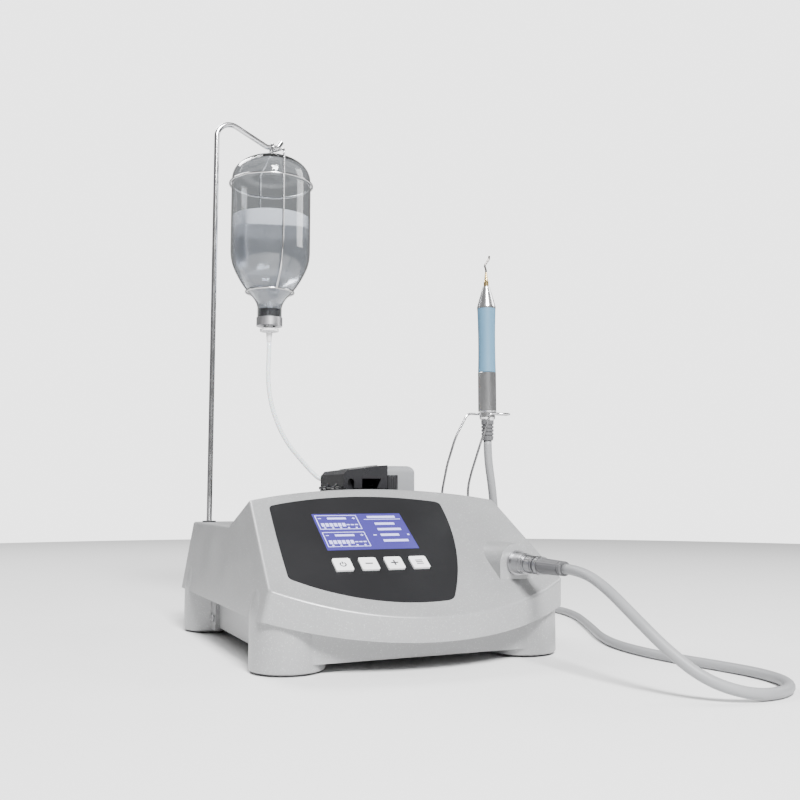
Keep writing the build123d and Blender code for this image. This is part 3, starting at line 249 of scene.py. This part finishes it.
# ---------------------------------------------------------------- housing and tray
# Two injection mouldings in silver-grey ABS with fine metal flake, split on one line above the four
# foot columns and screwed together from below.
silver_shell = moulded("silver_shell", (0.325, 0.328, 0.332), 0.38, mottle=0.045, specks=0.45, grain=750,
                       depth=0.00004, rubbed=0.06, metallic=0.30)
dress(silver_shell, "top_housing", "base_tray")

# ---------------------------------------------------------------- feet and screws underneath
# Four moulded rubber pads pressed into the foot columns, and four plated screws in deep counterbores, which
# hold the two halves of the case together.
pad_rubber = moulded("pad_rubber", (0.025, 0.025, 0.027), 0.75, mottle=0.2, grain=700, depth=0.00006,
                     rubbed=0.1)
dress(pad_rubber, "rubber_feet", "pole_grommet", "bottle_stopper")

# Drawn and turned metal: fine lines along one direction and smears that break up the gloss.
metal_skin, metal_in, metal_out = open_group("metal_skin", [
    ("Roughness", "NodeSocketFloat", 0.2), ("Smears", "NodeSocketFloat", 0.1),
    ("Line Scale", "NodeSocketVector", (400.0, 400.0, 4000.0)),
    ("Colour", "NodeSocketColor", (0.7, 0.7, 0.7, 1)),
], [("Colour", "NodeSocketColor"), ("Roughness", "NodeSocketFloat"), ("Height", "NodeSocketFloat")])
link = metal_skin.links.new
place = node(metal_skin, "TexCoord")
stretch = node(metal_skin, "VectorMath", operation="MULTIPLY")
link(place.outputs["Object"], stretch.inputs[0])
link(metal_in.outputs["Line Scale"], stretch.inputs[1])
lines = node(metal_skin, "TexNoise", Scale=1.0, Detail=2.0)
link(stretch.outputs[0], lines.inputs["Vector"])
smear = node(metal_skin, "TexNoise", Scale=70.0, Detail=4.0)
link(place.outputs["Object"], smear.inputs["Vector"])
smear_way = node(metal_skin, "MapRange")
smear_way.inputs["From Min"].default_value, smear_way.inputs["From Max"].default_value = 0.35, 0.65
link(smear.outputs["Fac"], smear_way.inputs["Value"])
smeared = node(metal_skin, "Math", operation="MULTIPLY_ADD")
link(smear_way.outputs[0], smeared.inputs[0])
link(metal_in.outputs["Smears"], smeared.inputs[1])
link(metal_in.outputs["Roughness"], smeared.inputs[2])
link(smeared.outputs[0], metal_out.inputs["Roughness"])
link(lines.outputs["Fac"], metal_out.inputs["Height"])
tone = node(metal_skin, "MapRange")
tone.inputs["To Min"].default_value, tone.inputs["To Max"].default_value = 0.9, 1.0
link(smear.outputs["Fac"], tone.inputs["Value"])
toned = node(metal_skin, "VectorMath", operation="SCALE")
link(metal_in.outputs["Colour"], toned.inputs[0])
link(tone.outputs[0], toned.inputs["Scale"])
link(toned.outputs[0], metal_out.inputs["Colour"])


def metal(name, colour, roughness, smears=0.05, lines=(300.0, 300.0, 300.0), depth=0.000004):
    material = bpy.data.materials.new(name)
    material.use_nodes = True
    tree = material.node_tree
    shader = tree.nodes["Principled BSDF"]
    skin = tree.nodes.new("ShaderNodeGroup")
    skin.node_tree = metal_skin
    skin.inputs["Colour"].default_value = (*colour, 1)
    skin.inputs["Roughness"].default_value = roughness
    skin.inputs["Smears"].default_value = smears
    skin.inputs["Line Scale"].default_value = lines
    bump = node(tree, "Bump", Strength=0.5, Distance=depth)
    tree.links.new(skin.outputs["Colour"], shader.inputs["Base Color"])
    tree.links.new(skin.outputs["Roughness"], shader.inputs["Roughness"])
    tree.links.new(skin.outputs["Height"], bump.inputs["Height"])
    tree.links.new(bump.outputs["Normal"], shader.inputs["Normal"])
    shader.inputs["Metallic"].default_value = 1.0
    return material


zinc = metal("zinc_screws", (0.55, 0.55, 0.56), 0.32, smears=0.12, lines=(900.0, 900.0, 900.0))
dress(zinc, "housing_screws", "bracket_screws")

# ---------------------------------------------------------------- operating face
# A charcoal overlay with an orange-peel gloss, cut out for the display and the four keys. The display's
# black module and the keys' switches sit behind it.
charcoal = moulded("charcoal_overlay", (0.013, 0.013, 0.014), 0.36, mottle=0.06, grain=700, depth=0.00002,
                   rubbed=0.06)
charcoal.node_tree.nodes["Principled BSDF"].inputs["Specular IOR Level"].default_value = 0.15
dress(charcoal, "front_panel")
module_black = moulded("module_black", (0.02, 0.02, 0.022), 0.6, grain=800)
dress(module_black, "display_module", "key_switches")

# ---------------------------------------------------------------- display
# A lit violet-blue liquid crystal behind a clear window. Its pale marks are plain bars and boxes, just proud
# of the window.
face_tilt = math.radians(34.1)
face_place = Matrix((
    (1, 0, 0, 0),
    (0, math.cos(face_tilt), -math.sin(face_tilt), -0.1173),
    (0, math.sin(face_tilt), math.cos(face_tilt), 0.0578),
    (0, 0, 0, 1),
))


def lit(name, colour, strength, cell):
    """A back-lit finish whose brightness carries the faint grid of the display's cells."""
    material = bpy.data.materials.new(name)
    material.use_nodes = True
    tree = material.node_tree
    shader = tree.nodes["Principled BSDF"]
    where = node(tree, "TexCoord")
    cells = node(tree, "TexVoronoi", feature="F1", distance="CHEBYCHEV", Scale=cell, Randomness=0.0)
    glow = node(tree, "TexNoise", Scale=14.0, Detail=2.0)
    tree.links.new(where.outputs["Object"], cells.inputs["Vector"])
    tree.links.new(where.outputs["Object"], glow.inputs["Vector"])
    grid = node(tree, "MapRange")
    grid.inputs["From Max"].default_value = 0.5
    grid.inputs["To Min"].default_value, grid.inputs["To Max"].default_value = 1.0, 0.88
    tree.links.new(cells.outputs["Distance"], grid.inputs["Value"])
    both = node(tree, "Math", operation="MULTIPLY_ADD")
    both.inputs[1].default_value = 0.12
    tree.links.new(glow.outputs["Fac"], both.inputs[0])
    tree.links.new(grid.outputs[0], both.inputs[2])
    shone = node(tree, "VectorMath", operation="SCALE")
    shone.inputs[0].default_value = colour
    tree.links.new(both.outputs[0], shone.inputs["Scale"])
    tree.links.new(shone.outputs[0], shader.inputs["Base Color"])
    tree.links.new(shone.outputs[0], shader.inputs["Emission Color"])
    shader.inputs["Emission Strength"].default_value = strength
    shader.inputs["Roughness"].default_value = 0.2
    shader.inputs["Coat Weight"].default_value = 0.4
    return material


lcd_blue = lit("lcd_blue", (0.040, 0.032, 0.18), 0.8, 2500.0)
lcd_pale = lit("lcd_pale", (0.42, 0.42, 0.75), 1.3, 2500.0)
dress(lcd_blue, "display_window")


def slab(bm, u, v, width, height, low, high):
    """A thin block on the operating face, by its middle and size."""
    size = Matrix.Diagonal((width, height, high - low, 1))
    bmesh.ops.create_cube(bm, size=1.0, matrix=Matrix.Translation((u, v, (low + high) / 2)) @ size)


def face_piece(name, bm, body, material):
    """Sets a finished piece on the operating face."""
    bmesh.ops.transform(bm, matrix=face_place, verts=bm.verts)
    bmesh.ops.recalc_face_normals(bm, faces=bm.faces)
    mesh = bpy.data.meshes.new(name)
    bm.to_mesh(mesh)
    bm.free()
    piece = bpy.data.objects.new(name, mesh)
    bpy.context.collection.objects.link(piece)
    mesh.materials.append(material)
    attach(piece, body)
    return piece


window_top = 0.0002
mark_low, mark_high = window_top - 0.00004, window_top + 0.00006
marks = bmesh.new()


def mark(u, v, width, height):
    slab(marks, u, v, width, height, mark_low, mark_high)


def hollow_box(u, v, width, height, line=0.0006):
    for side in (-1, 1):
        mark(u, v + side * height / 2, width + line, line)
        mark(u + side * width / 2, v, line, height - line)


# Two framed level bars, one over the other: nine cells, six of them full, over five scale dots, under a
# heading between a minus and a plus.
box_u, box_w, box_h = -0.0425, 0.0325, 0.0170
minus_u, plus_u, head_w = -0.0560, -0.0290, 0.0150
cells, full_cells, cell_u, cell_pitch, cell_w = 9, 6, -0.0555, 0.0033, 0.0025
dots, dot_u, dot_pitch = 5, -0.0548, 0.0062
for box_v in (0.0685, 0.0475):
    head_v = box_v + 0.0083
    hollow_box(box_u, box_v + 0.0035, box_w, box_h)
    for count in range(cells):
        mark(cell_u + cell_pitch * count, box_v + 0.0003, cell_w, 0.0042 if count < full_cells else 0.0012)
    for count in range(dots):
        mark(dot_u + dot_pitch * count, box_v - 0.0035, 0.0014, 0.0016)
    mark(minus_u, head_v, 0.0024, 0.0007)
    mark(box_u, head_v, head_w, 0.0022)
    mark(plus_u, head_v, 0.0024, 0.0007)
    mark(plus_u, head_v, 0.0007, 0.0024)

# An underlined heading over four bars of a list, with a cursor each side of the third.
list_u, list_h, chosen_v = -0.0140, 0.0027, 0.0555
mark(-0.0060, 0.0782, 0.0230, 0.0026)
mark(-0.0060, 0.0752, 0.0300, 0.0006)
for line_v, line_w in ((0.0695, 0.0160), (0.0625, 0.0190), (chosen_v, 0.0150), (0.0485, 0.0200)):
    mark(list_u + line_w / 2, line_v, line_w, list_h)
mark(0.0085, chosen_v, 0.0016, 0.0016)
mark(-0.0185, chosen_v, 0.0026, 0.0010)
face_piece("display_marks", marks, "unit", lcd_pale)

# ---------------------------------------------------------------- keys
# Four square push keys with rounded corners, moulded in white plastic. Each carries one plain printed sign
# and presses on its own switch.
key_white = moulded("key_white", (0.88, 0.88, 0.89), 0.38, mottle=0.02, grain=1200, rubbed=0.05, coat=0.15)
dress(key_white, "key_power", "key_minus", "key_plus", "key_mode")
sign_ink = moulded("sign_ink", (0.03, 0.03, 0.035), 0.5, grain=1600)
key_v = 0.0211
key_u = {"key_power": -0.0548, "key_minus": -0.0352, "key_plus": -0.0156, "key_mode": 0.0040}
sign_low, sign_high = 0.00136, 0.00146
stroke, stroke_len = 0.0013, 0.0056
ring_r, ring_line = 0.0021, 0.0009
ring_gap_turn, ring_turn = math.radians(120), math.radians(300)
row_pitch, row_w, row_h = 0.0019, 0.0054, 0.0010
for key, u in key_u.items():
    sign = bmesh.new()
    if key == "key_power":
        bmesh.ops.create_grid(sign, x_segments=1, y_segments=1, size=0.5, matrix=(
            Matrix.Translation((ring_r, 0, (sign_low + sign_high) / 2)) @ Matrix.Rotation(math.pi / 2, 4, "X")
            @ Matrix.Diagonal((ring_line, sign_high - sign_low, 1, 1))))
        bmesh.ops.rotate(sign, matrix=Matrix.Rotation(ring_gap_turn, 3, "Z"), verts=sign.verts)
        bmesh.ops.spin(sign, geom=sign.verts[:] + sign.edges[:] + sign.faces[:], cent=(0, 0, 0),
                       axis=(0, 0, 1), angle=ring_turn, steps=28, use_merge=False)
        bmesh.ops.translate(sign, vec=(u, key_v - 0.0002, 0), verts=sign.verts)
        slab(sign, u, key_v + 0.0014, ring_line, 0.0028, sign_low, sign_high)
    if key in ("key_minus", "key_plus"):
        slab(sign, u, key_v, stroke_len, stroke, sign_low, sign_high)
    if key == "key_plus":
        slab(sign, u, key_v, stroke, stroke_len, sign_low, sign_high)
    if key == "key_mode":
        for row in (-1, 0, 1):
            slab(sign, u, key_v + row_pitch * row, row_w, row_h, sign_low, sign_high)
    face_piece(key + "_sign", sign, key, sign_ink)

# ---------------------------------------------------------------- electronics inside
# Green epoxy boards, a laminated transformer, and black moulded parts at the back: the plate, the mains
# inlet, the switch's bezel and the rocker.
board_green = moulded("board_green", (0.02, 0.13, 0.06), 0.45, mottle=0.25, grain=300, depth=0.00004,
                      coat=0.2)
dress(board_green, "key_board", "main_board")
core_iron = metal("core_iron", (0.16, 0.16, 0.17), 0.5, smears=0.2, lines=(30.0, 2500.0, 30.0), depth=0.00004)
dress(core_iron, "transformer")
back_black = moulded("back_black", (0.018, 0.018, 0.02), 0.5, mottle=0.05, grain=1000)
dress(back_black, "rear_plate", "mains_inlet", "switch_bezel")
rocker_black = moulded("rocker_black", (0.015, 0.015, 0.016), 0.28, mottle=0.05, grain=1500, coat=0.3)
dress(rocker_black, "power_rocker")

# ---------------------------------------------------------------- sockets and plug
# Turned brass, nickel plated and polished. The release collar has two turned grooves. The handpiece's bend
# relief is moulded in dark rubber.
nickel = metal("polished_nickel", (0.42, 0.42, 0.43), 0.27, smears=0.05, lines=(120.0, 2500.0, 120.0),
               depth=0.000002)
dress(nickel, "hose_receptacle", "plug_body", "plug_collar", "receptacle_nut", "footswitch_socket")
relief_rubber = moulded("relief_rubber", (0.10, 0.10, 0.105), 0.55, mottle=0.05, grain=1400)
dress(relief_rubber, "handpiece_relief")

# The plug's boot has fine moulded ribs along it, spaced round the hose's axis.
boot_rubber = relief_rubber.copy()
boot_rubber.name = "ribbed_boot"
tree = boot_rubber.node_tree
where = node(tree, "TexCoord")
from_axis = node(tree, "VectorMath", operation="SUBTRACT")
from_axis.inputs[1].default_value = (0.0751, 0.0, 0.069)
parts = node(tree, "SeparateXYZ")
turn = node(tree, "Math", operation="ARCTAN2")
ribs = node(tree, "Math", operation="MULTIPLY")
ribs.inputs[1].default_value = 20.0
wave = node(tree, "Math", operation="SINE")
skin = next(n for n in tree.nodes if n.type == "GROUP")
bump = next(n for n in tree.nodes if n.type == "BUMP")
tall = node(tree, "Math", operation="MULTIPLY_ADD")
tall.inputs[1].default_value = 4.0
tree.links.new(where.outputs["Object"], from_axis.inputs[0])
tree.links.new(from_axis.outputs[0], parts.inputs[0])
tree.links.new(parts.outputs["Z"], turn.inputs[0])
tree.links.new(parts.outputs["X"], turn.inputs[1])
tree.links.new(turn.outputs[0], ribs.inputs[0])
tree.links.new(ribs.outputs[0], wave.inputs[0])
tree.links.new(wave.outputs[0], tall.inputs[0])
tree.links.new(skin.outputs["Height"], tall.inputs[2])
tree.links.new(tall.outputs[0], bump.inputs["Height"])
dress(boot_rubber, "plug_boot")

# ---------------------------------------------------------------- handpiece
# Turned stainless body and nose, a light-blue silicone grip sleeve and a gold titanium-nitride tip, which is
# darker towards its bent end.
turned_steel = metal("turned_steel", (0.82, 0.82, 0.83), 0.20, smears=0.02, lines=(120.0, 120.0, 7000.0))
dress(turned_steel, "handpiece_shell", "nose_cone", "ultrasonic_stack")
grip_blue = moulded("grip_silicone", (0.090, 0.195, 0.29), 0.50, mottle=0.04, grain=1800, depth=0.00002,
                    rubbed=0.08)
dress(grip_blue, "grip_sleeve")
tip_gold = metal("nitride_tip", (0.78, 0.58, 0.27), 0.22, smears=0.06, lines=(900.0, 900.0, 900.0))
tree = tip_gold.node_tree
where = node(tree, "TexCoord")
parts = node(tree, "SeparateXYZ")
up_the_tip = node(tree, "MapRange")
up_the_tip.inputs["From Min"].default_value, up_the_tip.inputs["From Max"].default_value = 0.3105, 0.3125
colours = node(tree, "Mix", data_type="RGBA")
colours.inputs[7].default_value = (0.16, 0.15, 0.14, 1)
skin = next(n for n in tree.nodes if n.type == "GROUP")
tree.links.new(where.outputs["Object"], parts.inputs[0])
tree.links.new(parts.outputs["Z"], up_the_tip.inputs["Value"])
tree.links.new(up_the_tip.outputs[0], colours.inputs["Factor"])
tree.links.new(skin.outputs["Colour"], colours.inputs[6])
tree.links.new(colours.outputs[2], tree.nodes["Principled BSDF"].inputs["Base Color"])
dress(tip_gold, "working_tip")

# ---------------------------------------------------------------- pole, wire rest and bottle cradle
# Bent and spot-welded stainless rod and wire, electropolished. The pole's hook carries the bottle in its wire
# cradle, and the wire rest carries the handpiece.
bright_wire = metal("bright_wire", (0.60, 0.60, 0.61), 0.16, smears=0.06, lines=(200.0, 200.0, 200.0))
dress(bright_wire, "bottle_pole", "handpiece_rest", "bottle_cradle")
pressed_steel = metal("pressed_steel", (0.45, 0.45, 0.46), 0.35, smears=0.12, lines=(60.0, 60.0, 2500.0))
dress(pressed_steel, "pole_bracket", "lid_spring_plate", "pump_roller_1", "pump_roller_2", "pump_roller_3",
      "pump_gearmotor")

# ---------------------------------------------------------------- bottle
# Clear blown-glass infusion bottle, upside down, part full of water, with a crimped aluminium collar. A white
# moulded spike goes up through its rubber stopper.


def clear(name, colour, ior, roughness, waver):
    """Glass or liquid, with a slight waver in its surface."""
    material = bpy.data.materials.new(name)
    material.use_nodes = True
    tree = material.node_tree
    shader = tree.nodes["Principled BSDF"]
    where = node(tree, "TexCoord")
    ripple = node(tree, "TexNoise", Scale=45.0, Detail=2.0)
    bump = node(tree, "Bump", Strength=0.3, Distance=waver)
    tree.links.new(where.outputs["Object"], ripple.inputs["Vector"])
    tree.links.new(ripple.outputs["Fac"], bump.inputs["Height"])
    tree.links.new(bump.outputs["Normal"], shader.inputs["Normal"])
    shader.inputs["Base Color"].default_value = (*colour, 1)
    shader.inputs["IOR"].default_value = ior
    shader.inputs["Roughness"].default_value = roughness
    shader.inputs["Transmission Weight"].default_value = 1.0
    return material


dress(clear("bottle_glass", (0.96, 0.98, 1.0), 1.45, 0.02, 0.0004), "bottle")
dress(clear("water", (0.92, 0.945, 1.0), 1.33, 0.16, 0.0002), "saline")
crimp = metal("crimp_aluminium", (0.62, 0.62, 0.64), 0.30, smears=0.1, lines=(200.0, 200.0, 5000.0))
dress(crimp, "crimp_collar")
spike_white = moulded("spike_white", (0.72, 0.72, 0.73), 0.35, grain=1500, coat=0.2)
dress(spike_white, "drip_spike", "pump_rotor", "tube_connector", "outlet_barb")
dress(vinyl, "pump_tubing")

# ---------------------------------------------------------------- irrigation pump
# A black glass-filled pump head with a smooth black lid, and a light-grey cover over its motor. The lid turns
# on a hinge pin, and a latch holds it shut.
pump_black = moulded("pump_black", (0.018, 0.018, 0.020), 0.42, mottle=0.06, grain=900, depth=0.00003)
dress(pump_black, "pump_body", "lid_latch", "lid_hinge_pin")
lid_black = moulded("lid_black", (0.014, 0.014, 0.016), 0.30, mottle=0.04, grain=500, rubbed=0.06, coat=0.1)
dress(lid_black, "pump_lid")
cover_grey = moulded("cover_grey", (0.235, 0.24, 0.25), 0.34, mottle=0.02, specks=0.1, grain=1100,
                     depth=0.00002)
dress(cover_grey, "pump_cover")

# ---------------------------------------------------------------- floor and lights
# A pale floor disc, a soft key light in front and above, a weak fill from the right and a light behind. The
# surroundings are dim to the unit and bright to the camera, which makes a near-white backdrop.
floor_paint = moulded("floor_paint", (0.82, 0.82, 0.82), 0.75, mottle=0.004, grain=30, depth=0.00001,
                      rubbed=0.02)
floor_bm = bmesh.new()
bmesh.ops.create_circle(floor_bm, cap_ends=True, segments=96, radius=1.8)
floor_mesh = bpy.data.meshes.new("floor")
floor_bm.to_mesh(floor_mesh)
floor_bm.free()
floor_mesh.materials.append(floor_paint)
floor = bpy.data.objects.new("floor", floor_mesh)
bpy.context.collection.objects.link(floor)

for name, place, aim, size, watts in (
    ("key_light", (-0.20, -1.45, 1.40), (0, 0, 0.1), 0.5, 115.0),
    ("fill_light", (1.4, -0.2, 1.0), (0, 0, 0.15), 0.7, 10.0),
    ("back_light", (-0.5, 1.2, 1.7), (0, 0, 0.2), 0.8, 45.0),
):
    lamp = bpy.data.lights.new(name, "AREA")
    lamp.shape = "SQUARE"
    lamp.size = size
    lamp.energy = watts
    light = bpy.data.objects.new(name, lamp)
    light.location = place
    light.rotation_euler = (Vector(aim) - Vector(place)).to_track_quat("-Z", "Y").to_euler()
    bpy.context.collection.objects.link(light)

world = bpy.data.worlds.new("studio")
world.use_nodes = True
sky = world.node_tree
seen = node(sky, "LightPath")
brightness = node(sky, "MapRange")
brightness.inputs["To Min"].default_value, brightness.inputs["To Max"].default_value = 0.28, 3.2
sky.links.new(seen.outputs["Is Camera Ray"], brightness.inputs["Value"])
sky.links.new(brightness.outputs[0], sky.nodes["Background"].inputs["Strength"])
sky.nodes["Background"].inputs["Color"].default_value = (1, 1, 1, 1)
bpy.context.scene.world = world
